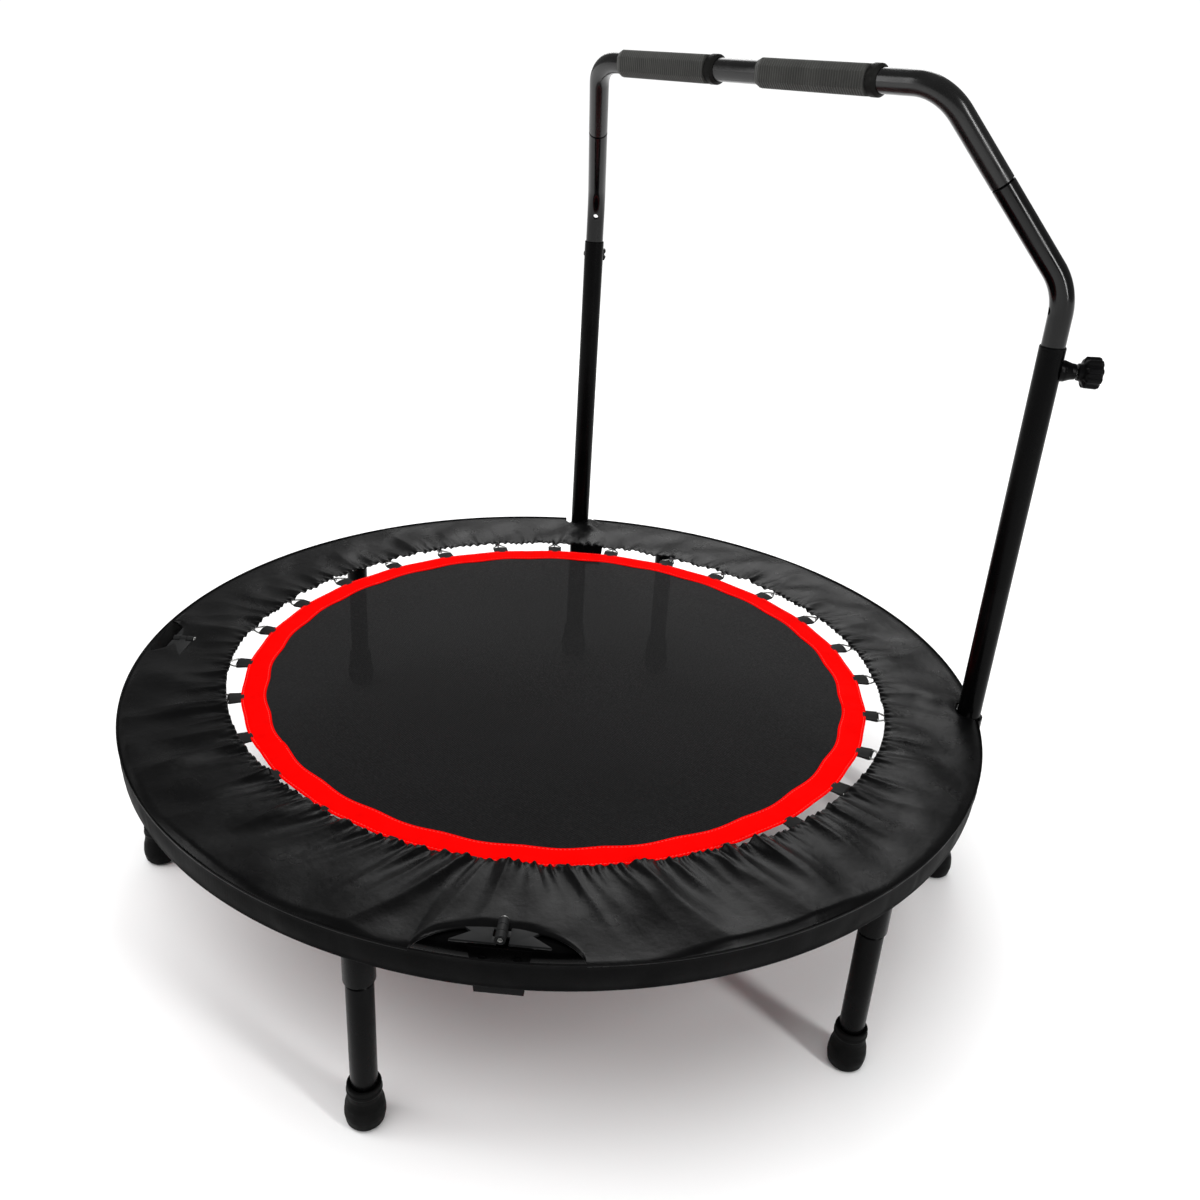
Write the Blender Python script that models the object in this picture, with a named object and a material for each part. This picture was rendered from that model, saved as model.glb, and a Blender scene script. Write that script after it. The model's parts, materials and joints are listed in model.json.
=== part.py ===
"""Mini trampoline with a support bar.

Metres, +Z up. The origin is on the floor under the middle of the ring.
The support bar runs along X on the +Y side. Angles are measured round Z from +X.
The ring folds in half about the two hinges at 135 and 315 degrees.
"""

import math

import bmesh
import bpy
from mathutils import Matrix, Vector

# ---- driving dimensions -------------------------------------------------------------------------

SKIRT_R = 0.508  # 40 in across the skirt
RING_R = 0.4725  # tube axis of the ring
RING_TUBE_R = 0.0125
RING_Z = 0.2275
TUBE_WALL = 0.0013
HINGE_ANGLES = (45, 135, 225, 315)
FOLD_ANGLES = (135, 315)  # the pair that folds
LEG_ANGLES = (0, 60, 120, 180, 240, 300)
ARC_END_GAP = 0.006  # from each hinge line to the tube's end

LEG_R = 0.490  # leg axis from the middle
LEG_TUBE_R = 0.013
SOCKET_R = 0.015
SOCKET_BOTTOM = 0.178

FOLD_PIN_Z = 0.2465  # just above skirt and mat, so the halves fold flat on each other
LOCKED_PIN_Z = 0.2405
PIN_R = 0.0025
PIN_BORE_R = 0.0029
KNUCKLE_R = 0.005
LEAF_R = (0.4600, 0.4845)  # inner and outer edge of a hinge leaf
LEAF_Z = (0.2403, 0.2433)
LEAF_LENGTH = 0.045

POST_ANGLE = 46.85  # each post, from +Y
POST_R = 0.502  # post axis from the middle, just outside the ring
POST_TUBE_R = 0.014
POST_BORE_R = 0.0129
POST_TOP = 0.685
KNOB_Z = 0.66
BRACKET_Z = (0.218, 0.237)
BRACKET_R = (0.4853, 0.4877)

BAR_TUBE_R = 0.0124
LOW_BEND_Z = 0.742  # where the upright leans inward
BAR_HALF = 0.252  # half the bar's length, corner to corner
BAR_Y = 0.2366
BAR_Z = 0.9238
STEP_SHARE = 0.53  # where the tubes join, along the slanted run
INSERT_Z = 0.50  # lower end of the tube inside the post
HOLE_Z = (0.60, 0.66, 0.72)  # height holes in the upright

GRIP_R = 0.018
GRIP_SPANS = ((-0.205, -0.0573), (0.020, 0.1677))
GRIP_RING = 0.013

MAT_R = 0.3455
BORDER_R = (0.3460, 0.3770)
MAT_Z = (0.2385, 0.2402)
HEM_ROD_R = 0.3815
SPRING_COUNT = 28
SPRING_Z = (0.2345, 0.2405)
SPRING_OUTER = 0.4592

SKIRT_INNER = 0.395
SKIRT_TOP = 0.2435
SKIRT_BOTTOM = 0.213
CLOTH = 0.0015
CUT_HALF = 9.0  # half angle of the opening in the skirt at each hinge, degrees
CUT_R = 0.456
CUT_EDGE = 0.3  # the opening's ends are this abrupt, degrees
GAP = 0.0003  # between pieces that touch
FOLD_GAP_DEG = 0.2

# ---- helpers ------------------------------------------------------------------------------------


def clear_scene():
    for thing in list(bpy.data.objects):
        bpy.data.objects.remove(thing)


def material(name, colour, roughness, metallic=0.0):
    made = bpy.data.materials.new(name)
    made.use_nodes = True
    shader = made.node_tree.nodes["Principled BSDF"]
    shader.inputs["Base Color"].default_value = (*colour, 1.0)
    shader.inputs["Roughness"].default_value = roughness
    shader.inputs["Metallic"].default_value = metallic
    return made


def polar(radius, degrees, z=0.0):
    """A point at a radius and an angle round Z."""
    turn = math.radians(degrees)
    return Vector((radius * math.cos(turn), radius * math.sin(turn), z))


def put(name, mesh_maker, finish):
    """Turns a bmesh into a named object with its material."""
    bmesh.ops.recalc_face_normals(mesh_maker, faces=mesh_maker.faces)
    mesh = bpy.data.meshes.new(name)
    mesh_maker.to_mesh(mesh)
    mesh_maker.free()
    mesh.materials.append(finish)
    mesh.shade_smooth()
    mesh.set_sharp_from_angle(angle=math.radians(35))
    thing = bpy.data.objects.new(name, mesh)
    bpy.context.scene.collection.objects.link(thing)
    return thing


def loft(rings, closed_ends=True, closed_loop=False):
    """Joins rings of points, all of one length, into a skin."""
    made = bmesh.new()
    rows = [[made.verts.new(point) for point in ring] for ring in rings]
    pairs = list(zip(rows, rows[1:]))
    if closed_loop:
        pairs.append((rows[-1], rows[0]))
    count = len(rows[0])
    for low, high in pairs:
        for k in range(count):
            after = (k + 1) % count
            made.faces.new((low[k], low[after], high[after], high[k]))
    if closed_ends:
        made.faces.new(rows[0])
        made.faces.new(reversed(rows[-1]))
    return made


def circle(centre, side, up, radius, sides):
    turns = [math.tau * k / sides for k in range(sides)]
    return [centre + side * radius * math.cos(t) + up * radius * math.sin(t) for t in turns]


def swept(points, profile_of, sides):
    """Rings along a path. profile_of(centre, side, up) gives one ring."""
    rings = []
    tangent = (points[1] - points[0]).normalized()
    side = tangent.orthogonal().normalized()
    for index, point in enumerate(points):
        before = points[max(index - 1, 0)]
        after = points[min(index + 1, len(points) - 1)]
        turned = (after - before).normalized()
        side = tangent.rotation_difference(turned) @ side
        tangent = turned
        rings.append(profile_of(point, side, tangent.cross(side)))
    return rings


def pipe(points, outer, inner, sides=14):
    """A hollow tube along a path, open at both ends."""
    outside = swept(points, lambda c, s, u: circle(c, s, u, outer, sides), sides)
    inside = swept(points, lambda c, s, u: circle(c, s, u, inner, sides), sides)
    return loft(outside + inside[::-1], closed_ends=False, closed_loop=True)


def rod(start, end, radius, sides=16):
    """A solid round bar."""
    return loft(swept([Vector(start), Vector(end)], lambda c, s, u: circle(c, s, u, radius, sides), sides))


def turned(profile, sides, place=Matrix.Identity(4)):
    """A solid of revolution about local Z. The profile runs from the axis to the axis."""
    made = bmesh.new()
    ends = [made.verts.new((0, 0, profile[0][1])), made.verts.new((0, 0, profile[-1][1]))]
    rows = []
    for radius, z in profile[1:-1]:
        rows.append([made.verts.new((*polar(radius, 360 * k / sides).xy, z)) for k in range(sides)])
    for k in range(sides):
        after = (k + 1) % sides
        made.faces.new((ends[0], rows[0][k], rows[0][after]))
        made.faces.new((ends[1], rows[-1][after], rows[-1][k]))
        for low, high in zip(rows, rows[1:]):
            made.faces.new((low[k], high[k], high[after], low[after]))
    bmesh.ops.transform(made, matrix=place, verts=made.verts)
    return made


def rounded(corners, bend, steps=5):
    """A path through corners, with an arc of one bend radius at each inner corner."""
    path = [Vector(corners[0])]
    for before, corner, after in zip(corners, corners[1:], corners[2:]):
        corner = Vector(corner)
        back = (Vector(before) - corner).normalized()
        ahead = (Vector(after) - corner).normalized()
        half = back.angle(ahead) / 2
        middle = corner + (back + ahead).normalized() * bend / math.sin(half)
        reach = bend / math.tan(half)
        first = (corner + back * reach - middle).normalized()
        last = (corner + ahead * reach - middle).normalized()
        path += [middle + first.slerp(last, k / steps) * bend for k in range(steps + 1)]
    return path + [Vector(corners[-1])]


def box(low, high, turn=0.0):
    """A box in a frame turned round Z: local X is radial, local Y is along the ring."""
    made = bmesh.new()
    bmesh.ops.create_cube(made, size=1.0)
    for vert in made.verts:
        share = vert.co + Vector((0.5, 0.5, 0.5))
        vert.co = Vector([a + (b - a) * s for a, b, s in zip(low, high, share)])
    bmesh.ops.rotate(made, matrix=Matrix.Rotation(math.radians(turn), 3, "Z"), verts=made.verts)
    return made


def combine(target, others, operation):
    """Joins other solids to an object, or cuts them from it."""
    for index, maker in enumerate(others):
        tool = put(f"{target.name}_{operation.lower()}_{index}", maker, target.data.materials[0])
        step = target.modifiers.new("Boolean", "BOOLEAN")
        step.operation = operation
        step.solver = "EXACT"
        step.object = tool
        bpy.context.view_layer.update()
        result = bpy.data.meshes.new_from_object(target.evaluated_get(bpy.context.evaluated_depsgraph_get()))
        target.modifiers.clear()
        target.data = result
        bpy.data.objects.remove(tool)
    return target


def aimed(point, direction):
    """Puts local +Z along a direction, at a point."""
    return Matrix.Translation(point) @ Vector(direction).to_track_quat("Z", "Y").to_matrix().to_4x4()


# ---- ring, legs and feet ------------------------------------------------------------------------


def ring_arc(name, start, finish):
    """A quarter of the ring, with a welded leg socket at each leg angle on it."""
    end_turn = math.degrees(ARC_END_GAP / RING_R)
    low, high = start + end_turn, start + 90 - end_turn
    steps = 11
    path = [polar(RING_R, low + (high - low) * k / steps, RING_Z) for k in range(steps + 1)]
    arc = put(name, pipe(path, RING_TUBE_R, RING_TUBE_R - TUBE_WALL, 10), finish)
    for angle in LEG_ANGLES:
        if not 0 < (angle - start) % 360 < 90:
            continue
        foot = polar(LEG_R, angle)
        socket = rod(foot + Vector((0, 0, SOCKET_BOTTOM)), foot + Vector((0, 0, RING_Z + 0.004)), SOCKET_R)
        combine(arc, [socket], "UNION")
        bore_top = Vector((0, 0, SOCKET_BOTTOM + 0.024))
        combine(arc, [rod(foot + Vector((0, 0, SOCKET_BOTTOM - 0.01)), foot + bore_top, 0.0056, 12)], "DIFFERENCE")
    return arc


def leg(name, angle, finish):
    """A tube leg with a plugged top and the stud that screws into its socket."""
    inner = LEG_TUBE_R - TUBE_WALL
    shoulder = SOCKET_BOTTOM - GAP - 0.0002
    profile = [
        (0, shoulder - 0.010), (inner, shoulder - 0.010), (inner, 0.0165), (LEG_TUBE_R, 0.0165),
        (LEG_TUBE_R, shoulder), (0.0052, shoulder), (0.0052, shoulder + 0.021), (0, shoulder + 0.021),
    ]
    return put(name, turned(profile, 16, Matrix.Translation(polar(LEG_R, angle))), finish)


def rubber_foot(name, place, tube_r, finish):
    """A bulb with a collar that pushes onto a tube's end."""
    swell = tube_r - LEG_TUBE_R
    bore = (tube_r + GAP) / math.cos(math.pi / 12)
    profile = [
        (0, 0), (0.0165 + swell, 0), (0.0190 + swell, 0.004), (0.0198 + swell, 0.014),
        (0.0192 + swell, 0.028), (0.0165 + swell, 0.036), (0.0165 + swell, 0.050),
        (bore, 0.050), (bore, 0.0160), (0, 0.0160),
    ]
    return put(name, turned(profile, 12, Matrix.Translation(place)), finish)


# ---- hinges -------------------------------------------------------------------------------------


def knuckle_spans(side):
    """Where the knuckles stand along the pin: one in the middle, or one at each end."""
    low, high = LEAF_R
    third = (high - low) / 3
    if side > 0:
        return [(low + third + 0.00025, high - third - 0.00025)]
    return [(low, low + third - 0.00025), (high - third + 0.00025, high)]


def hinge_leaf(name, angle, side, pin_z, finish):
    """A flat plate on a tube's end, with knuckles round the pin. side is +1 or -1 along the ring."""
    def spread(a, b):
        return sorted((a * side, b * side))

    near, far = spread(0.0075, LEAF_LENGTH)
    leaf = put(name, box((LEAF_R[0], near, LEAF_Z[0]), (LEAF_R[1], far, LEAF_Z[1]), angle), finish)
    direction = polar(1, angle)
    for low, high in knuckle_spans(side):
        near, far = spread(0.0034, 0.009)
        web = box((low, near, LEAF_Z[0] + 0.0001), (high, far, LEAF_Z[1] - 0.0001), angle)
        lift = Vector((0, 0, pin_z))
        barrel = rod(direction * low + lift, direction * high + lift, KNUCKLE_R, 16)
        combine(leaf, [web, barrel], "UNION")
    lift = Vector((0, 0, pin_z))
    bore = rod(direction * (LEAF_R[0] - 0.01) + lift, direction * (LEAF_R[1] + 0.01) + lift, PIN_BORE_R, 12)
    return combine(leaf, [bore], "DIFFERENCE")


def hinge_pin(name, angle, pin_z, finish):
    """A headed pin, along the radius."""
    length = LEAF_R[1] - LEAF_R[0] + 0.0002
    head = 0.0024
    profile = [(0, -head), (0.0038, -head), (0.0045, -head * 0.6), (0.0045, -GAP), (PIN_R - 0.0001, -GAP),
               (PIN_R - 0.0001, length), (0, length)]
    place = aimed(polar(LEAF_R[0], angle, pin_z), polar(1, angle))
    return put(name, turned(profile, 12, place), finish)


# ---- support bar --------------------------------------------------------------------------------


def post_angle(side):
    """Side is +1 at +X and -1 at -X."""
    return 90 - side * POST_ANGLE


def lower_post(name, side, finish):
    """A post from the floor, with a conical weld nut for the clamp knob."""
    angle = post_angle(side)
    foot = polar(POST_R, angle)
    out = polar(1, angle)
    lift = Vector((0, 0, 1))
    post = put(name, rod(foot + lift * 0.0165, foot + lift * POST_TOP, POST_TUBE_R, 20), finish)
    nut = [(0, 0.004), (0.0105, 0.004), (0.0105, 0.017), (0.0080, 0.028), (0, 0.028)]
    combine(post, [turned(nut, 16, aimed(foot + lift * KNOB_Z, out))], "UNION")
    bore = rod(foot, foot + lift * (POST_TOP + 0.01), POST_BORE_R, 20)
    stud_hole = rod(foot + lift * KNOB_Z + out * 0.008, foot + lift * KNOB_Z + out * 0.04, 0.0045, 12)
    return combine(post, [bore, stud_hole], "DIFFERENCE")


def post_bracket(name, side, finish):
    """A saddle plate on the rear arc's outer flank, with a strap round the post."""
    angle = post_angle(side)
    start, end = sorted((angle - side * 2.6, angle + side * 10.2))
    steps = 8
    bars = []
    for k in range(steps + 1):
        turn = start + (end - start) * k / steps
        corners = [(r, z) for r in (BRACKET_R[0] - 0.002, BRACKET_R[1]) for z in BRACKET_Z]
        corners = [corners[0], corners[1], corners[3], corners[2]]
        bars.append([polar(r, turn, z) for r, z in corners])
    bracket = put(name, loft(bars), finish)
    centre = polar(POST_R, angle)
    low, high = (Vector((0, 0, z)) for z in BRACKET_Z)
    strap = rod(centre + low, centre + high, POST_TUBE_R + 0.0028, 24)
    combine(bracket, [strap], "UNION")
    below, above = (Vector((0, 0, z)) for z in (BRACKET_Z[0] - 0.01, BRACKET_Z[1] + 0.01))
    hole = rod(centre + below, centre + above, POST_TUBE_R + 0.0004, 24)
    facets = 90
    flank = rod(below, above, BRACKET_R[0] / math.cos(math.pi / facets), facets)
    combine(bracket, [hole, flank], "DIFFERENCE")
    holes = []
    for turn in bolt_angles(side):
        mid = (BRACKET_Z[0] + BRACKET_Z[1]) / 2
        holes.append(rod(polar(BRACKET_R[0] - 0.01, turn, mid), polar(BRACKET_R[1] + 0.01, turn, mid), 0.0034, 12))
    return combine(bracket, holes, "DIFFERENCE")


def bolt_angles(side):
    return [post_angle(side) + side * turn for turn in (6.2, 8.7)]


def bracket_bolt(name, turn, finish):
    """A button-head bolt through the bracket."""
    mid = (BRACKET_Z[0] + BRACKET_Z[1]) / 2
    plate = BRACKET_R[1] - BRACKET_R[0]
    profile = [(0, 0.0001), (0.003, 0.0001), (0.003, plate + GAP), (0.0055, plate + GAP),
               (0.0055, plate + 0.0025), (0.0035, plate + 0.0042), (0, plate + 0.0042)]
    return put(name, turned(profile, 12, aimed(polar(BRACKET_R[0], turn, mid), polar(1, turn))), finish)


def knob(name, side, finish):
    """A four-lobed clamp knob with a blind hole for its stud."""
    angle = post_angle(side)
    sides = 24
    sections = [(0.0044, 0.016, 0), (0.0044, 0.0, 0), (0.0085, 0.0, 0), (0.0095, 0.004, 0),
                (0.0140, 0.006, 1), (0.0152, 0.009, 1), (0.0152, 0.021, 1), (0.0130, 0.0245, 1)]
    rings = []
    for radius, height, lobed in sections:
        ring = []
        for k in range(sides):
            swell = 1 + 0.12 * lobed * math.cos(math.tau * 4 * k / sides)
            ring.append(Vector((*(polar(radius * swell, 360 * k / sides).xy), height)))
        rings.append(ring)
    made = loft(rings)
    base = polar(POST_R + 0.0295, angle, KNOB_Z)
    bmesh.ops.transform(made, matrix=aimed(base, polar(1, angle)), verts=made.verts)
    return put(name, made, finish)


def knob_stud(name, side, finish):
    angle = post_angle(side)
    start = POST_R + BAR_TUBE_R + 0.0004
    return put(name, rod(polar(start, angle, KNOB_Z), polar(POST_R + 0.0445, angle, KNOB_Z), 0.004, 12), finish)


def slant_points(side):
    """Low bend and bar corner, on one side."""
    foot = polar(POST_R, post_angle(side))
    return Vector((foot.x, foot.y, LOW_BEND_Z)), Vector((side * BAR_HALF, BAR_Y, BAR_Z))


def side_tube(name, side, finish):
    """The upright: it slides in the post, leans inward and ends in a peg."""
    low, corner = slant_points(side)
    step = low.lerp(corner, STEP_SHARE)
    path = rounded([(low.x, low.y, INSERT_Z), low, step], 0.07)
    tube = put(name, pipe(path, BAR_TUBE_R, BAR_TUBE_R - TUBE_WALL), finish)
    run = (corner - low).normalized()
    peg = [(0, -0.022), (0.0118, -0.022), (0.0118, -0.001), (0.0106, 0.001), (0.0106, 0.036), (0.0095, 0.038),
           (0, 0.038)]
    combine(tube, [turned(peg, 16, aimed(step, run))], "UNION")
    out = polar(1, post_angle(side))
    foot = polar(POST_R, post_angle(side))
    cuts = []
    for z in HOLE_Z:
        middle = foot + Vector((0, 0, z))
        cuts.append(rod(middle - out * 0.02, middle + out * 0.02, 0.0038, 8))
    return combine(tube, cuts, "DIFFERENCE")


def top_bar(name, finish):
    """The bar with its two bent corners, down to the step on each side."""
    points = []
    for side in (-1, 1):
        low, corner = slant_points(side)
        run = (corner - low).normalized()
        step = low.lerp(corner, STEP_SHARE) + run * 0.0014
        points += [step, corner] if side < 0 else [corner, step]
    return put(name, pipe(rounded(points, 0.055), BAR_TUBE_R, BAR_TUBE_R - TUBE_WALL), finish)


def sleeve(name, start, end, outer, sides, finish):
    """A grip or a ring on the bar."""
    path = [Vector((x, BAR_Y, BAR_Z)) for x in (start, end)]
    bore = (BAR_TUBE_R + GAP) / math.cos(math.pi / sides)
    return put(name, pipe(path, outer, bore, sides), finish)


# ---- mat, springs and skirt ---------------------------------------------------------------------


def fold_half_angles(half, gap=FOLD_GAP_DEG):
    """First and last angle of the rear half (0) or the front half (1)."""
    start = FOLD_ANGLES[1] - 360 if half == 0 else FOLD_ANGLES[0]
    return start + gap, start + 180 - gap


def band(name, half, inner, outer, heights, steps, finish):
    """A flat half ring."""
    first, last = fold_half_angles(half)
    rings = []
    for k in range(steps + 1):
        turn = first + (last - first) * k / steps
        rings.append([polar(inner, turn, heights[0]), polar(outer, turn, heights[0]),
                      polar(outer, turn, heights[1]), polar(inner, turn, heights[1])])
    return put(name, loft(rings), finish)


def half_mat(name, half, finish):
    """Half of the round jumping mat, a millimetre clear of the fold line."""
    first, last = fold_half_angles(half)
    steps = 32
    rim = [polar(MAT_R, first + (last - first) * k / steps) for k in range(steps + 1)]
    rings = [[point + Vector((0, 0, z)) for point in rim] for z in MAT_Z]
    return put(name, loft(rings), finish)


def spring_angles(half):
    first = fold_half_angles(half, 0)[0]
    pitch = 360 / SPRING_COUNT
    return [first + pitch * (k + 0.5) for k in range(SPRING_COUNT // 2)]


def spring_row(name, half, finish):
    """The rod in the border's hem with the springs that reach out to the ring."""
    first, last = fold_half_angles(half)
    half_tooth = math.degrees(0.003 / HEM_ROD_R)
    pitch = 360 / SPRING_COUNT
    stations = [first, first + pitch / 4]
    tooth_rows = []
    for angle in spring_angles(half):
        tooth_rows.append(len(stations))
        stations += [angle - half_tooth, angle + half_tooth, angle + pitch / 3, angle + pitch * 2 / 3]
    stations[-2:] = [last - pitch / 4, last]
    rings = []
    for turn in stations:
        rings.append([polar(r, turn, z) for r, z in (
            (HEM_ROD_R - 0.003, SPRING_Z[0]), (HEM_ROD_R + 0.003, SPRING_Z[0]),
            (HEM_ROD_R + 0.003, SPRING_Z[1]), (HEM_ROD_R - 0.003, SPRING_Z[1]))])
    made = loft(rings)
    made.faces.ensure_lookup_table()
    teeth = [made.faces[row * 4 + 1] for row in tooth_rows]
    for face in bmesh.ops.extrude_discrete_faces(made, faces=teeth)["faces"]:
        out = face.calc_center_median()
        out.z = 0
        reach = SPRING_OUTER - out.length
        bmesh.ops.translate(made, vec=out.normalized() * reach, verts=face.verts)
    return put(name, made, finish)


def skirt_outline(turn):
    """Outer radius, corner size and lower edge of the skirt at an angle."""
    nearest = min(HINGE_ANGLES, key=lambda hinge: abs((turn - hinge + 180) % 360 - 180))
    off = abs((turn - nearest + 180) % 360 - 180)
    flat_bottom = SKIRT_TOP - CLOTH - 0.0006
    if off < CUT_HALF - CUT_EDGE / 2:
        return CUT_R, 0.0004, flat_bottom
    outer = SKIRT_R
    beside_post = nearest in (45, 135) and abs((turn - 90 + 180) % 360 - 180) > 45
    if beside_post:
        outer = min(SKIRT_R, (LEAF_R[1] + 0.0003) / math.cos(math.radians(off)))
    if off < CUT_HALF + CUT_EDGE / 2:
        return outer, 0.0004, flat_bottom
    return outer, 0.005, SKIRT_BOTTOM


def skirt_stations(half):
    """Angles of the skirt's cross-sections: close together where an opening starts or ends."""
    first, last = fold_half_angles(half)
    steps = 18
    stations = [first]
    for hinge in (first - FOLD_GAP_DEG, first - FOLD_GAP_DEG + 90):
        low, high = hinge + CUT_HALF, hinge + 90 - CUT_HALF
        stations += [low - CUT_EDGE, low]
        span = high - low - 2 * CUT_EDGE
        stations += [low + CUT_EDGE + span * k / steps for k in range(steps + 1)]
        stations += [high, high + CUT_EDGE]
    return stations + [last]


def skirt_half(name, half, finish):
    """Half of the fabric skirt: a thin top, a turned-down side band and an opening at each hinge."""
    rings = []
    for turn in skirt_stations(half):
        outer, corner, bottom = skirt_outline(turn)
        rings.append([polar(r, turn, z) for r, z in (
            (SKIRT_INNER, SKIRT_TOP), (SKIRT_INNER, SKIRT_TOP - CLOTH),
            (outer - corner - CLOTH * 0.3, SKIRT_TOP - CLOTH), (outer - CLOTH, SKIRT_TOP - CLOTH - corner * 0.7),
            (outer - CLOTH, bottom), (outer, bottom),
            (outer, SKIRT_TOP - corner * 0.7), (outer - corner, SKIRT_TOP))])
    return put(name, loft(rings), finish)


# ---- assembly -----------------------------------------------------------------------------------


def build():
    clear_scene()
    black_paint = material("black_paint", (0.012, 0.012, 0.013), 0.28, 0.4)
    dark_paint = material("dark_paint", (0.030, 0.031, 0.033), 0.38, 0.4)
    plated = material("plated_steel", (0.55, 0.55, 0.56), 0.25, 1.0)
    rubber = material("rubber", (0.010, 0.010, 0.011), 0.55)
    foam = material("foam", (0.045, 0.046, 0.048), 0.85)
    plastic = material("knob_plastic", (0.012, 0.012, 0.013), 0.4)
    mat_cloth = material("mat_weave", (0.013, 0.013, 0.014), 0.7)
    red = material("red_border", (0.85, 0.004, 0.004), 0.6)
    skirt_cloth = material("skirt_fabric", (0.010, 0.010, 0.011), 0.5)
    steel = material("spring_steel", (0.3, 0.3, 0.31), 0.35, 1.0)

    for start, where in ((-45, "right"), (45, "rear"), (135, "left"), (225, "front")):
        ring_arc(f"ring_arc_{where}", start, black_paint)
    for angle in LEG_ANGLES:
        leg(f"leg_{angle:03d}", angle, black_paint)
        rubber_foot(f"leg_foot_{angle:03d}", polar(LEG_R, angle), LEG_TUBE_R, rubber)
    for angle in HINGE_ANGLES:
        pin_z = FOLD_PIN_Z if angle in FOLD_ANGLES else LOCKED_PIN_Z
        hinge_leaf(f"hinge_leaf_{angle:03d}_a", angle, 1, pin_z, black_paint)
        hinge_leaf(f"hinge_leaf_{angle:03d}_b", angle, -1, pin_z, black_paint)
        hinge_pin(f"hinge_pin_{angle:03d}", angle, pin_z, plated)
    for side, where in ((1, "right"), (-1, "left")):
        lower_post(f"lower_post_{where}", side, black_paint)
        rubber_foot(f"post_foot_{where}", polar(POST_R, post_angle(side)), POST_TUBE_R, rubber)
        post_bracket(f"post_bracket_{where}", side, black_paint)
        for number, turn in enumerate(bolt_angles(side), 1):
            bracket_bolt(f"bracket_bolt_{where}_{number}", turn, plated)
        knob(f"clamp_knob_{where}", side, plastic)
        knob_stud(f"knob_stud_{where}", side, plated)
        side_tube(f"side_tube_{where}", side, black_paint)
    top_bar("top_bar", dark_paint)
    for (start, end), where in zip(GRIP_SPANS, ("left", "right")):
        sleeve(f"foam_grip_{where}", start, end, GRIP_R, 12, foam)
        sleeve(f"grip_ring_{where}", end + GAP, end + GRIP_RING, GRIP_R + 0.0007, 20, rubber)
    for half, where in enumerate(("rear", "front")):
        half_mat(f"mat_{where}", half, mat_cloth)
        band(f"border_{where}", half, BORDER_R[0], BORDER_R[1], MAT_Z, 30, red)
        spring_row(f"spring_row_{where}", half, steel)
        skirt_half(f"skirt_{where}", half, skirt_cloth)


build()
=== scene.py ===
"""The looks of the mini trampoline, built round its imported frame.

Metres, +Z up. The origin is on the floor under the middle of the ring, and angles are measured round Z
from +X, in degrees. The ring folds in half about the hinges at 135 and 315 degrees.
"""

import json
import math

import bmesh
import bpy
import numpy as np
from mathutils import Matrix, Vector


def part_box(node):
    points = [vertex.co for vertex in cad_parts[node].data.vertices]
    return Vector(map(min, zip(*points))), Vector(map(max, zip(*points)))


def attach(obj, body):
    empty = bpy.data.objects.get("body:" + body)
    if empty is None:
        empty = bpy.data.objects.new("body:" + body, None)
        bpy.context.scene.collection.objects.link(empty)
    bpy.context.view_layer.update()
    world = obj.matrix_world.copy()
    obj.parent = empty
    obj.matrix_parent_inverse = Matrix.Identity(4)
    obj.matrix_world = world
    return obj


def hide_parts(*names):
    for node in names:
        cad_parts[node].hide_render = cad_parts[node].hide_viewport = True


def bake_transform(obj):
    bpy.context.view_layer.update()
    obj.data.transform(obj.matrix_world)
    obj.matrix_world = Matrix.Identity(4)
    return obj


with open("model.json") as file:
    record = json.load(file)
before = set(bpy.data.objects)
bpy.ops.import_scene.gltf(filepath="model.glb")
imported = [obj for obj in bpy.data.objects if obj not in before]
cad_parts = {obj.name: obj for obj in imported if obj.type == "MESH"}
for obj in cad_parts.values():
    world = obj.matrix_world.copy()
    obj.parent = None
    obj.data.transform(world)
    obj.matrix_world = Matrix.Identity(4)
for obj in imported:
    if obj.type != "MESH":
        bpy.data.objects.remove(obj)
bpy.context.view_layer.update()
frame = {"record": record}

# ---- sizes, read from the frame ----


def middle(node):
    low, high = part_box(node)
    return (low + high) / 2


def half_width(node):
    low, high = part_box(node)
    return (high.x - low.x) / 2


BODY_OF = {node: body for body, nodes in frame["record"]["behaviour"]["bodies"].items() for node in nodes}

HINGE_ANGLES = (45, 135, 225, 315)
LEG_ANGLES = (0, 60, 120, 180, 240, 300)
ARC_STARTS = {"right": -45, "rear": 45, "left": 135, "front": 225}
SIDES = {"right": 1, "left": -1}
HALVES = {"rear": -45, "front": 135}  # first angle of each folding half
ARC_END_GAP = 0.72  # from each hinge line to the end of a tube, degrees

RING_TUBE_R = 0.0125
RING_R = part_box("ring_arc_rear")[1].y - RING_TUBE_R
RING_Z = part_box("ring_arc_rear")[1].z - RING_TUBE_R
SOCKET_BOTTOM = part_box("ring_arc_rear")[0].z
SOCKET_R = 0.015
LEG_R = middle("leg_foot_000").x
LEG_TUBE_R = half_width("leg_000")
FOOT_R = half_width("leg_foot_000")
FOOT_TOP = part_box("leg_foot_000")[1].z

POST_TUBE_R = middle("post_foot_right").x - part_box("lower_post_right")[0].x
POST_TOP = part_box("lower_post_right")[1].z
KNOB_Z = middle("knob_stud_right").z
POST_ANGLES = {"right": 43.15, "left": 136.85}
POST_GAP = 2.5  # half of the gap that the skirt's band leaves round each post, degrees
BAR_TUBE_R = 0.0124
TUBE_WALL = 0.0013
INSERT_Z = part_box("side_tube_right")[0].z
LOW_BEND_Z = 0.742
BAR_HALF = 0.252
BAR_Y = middle("foam_grip_left").y
BAR_Z = middle("foam_grip_left").z
STEP_SHARE = 0.53
HOLE_Z = (0.60, 0.66, 0.72)
HOLE_R = 0.0038

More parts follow.
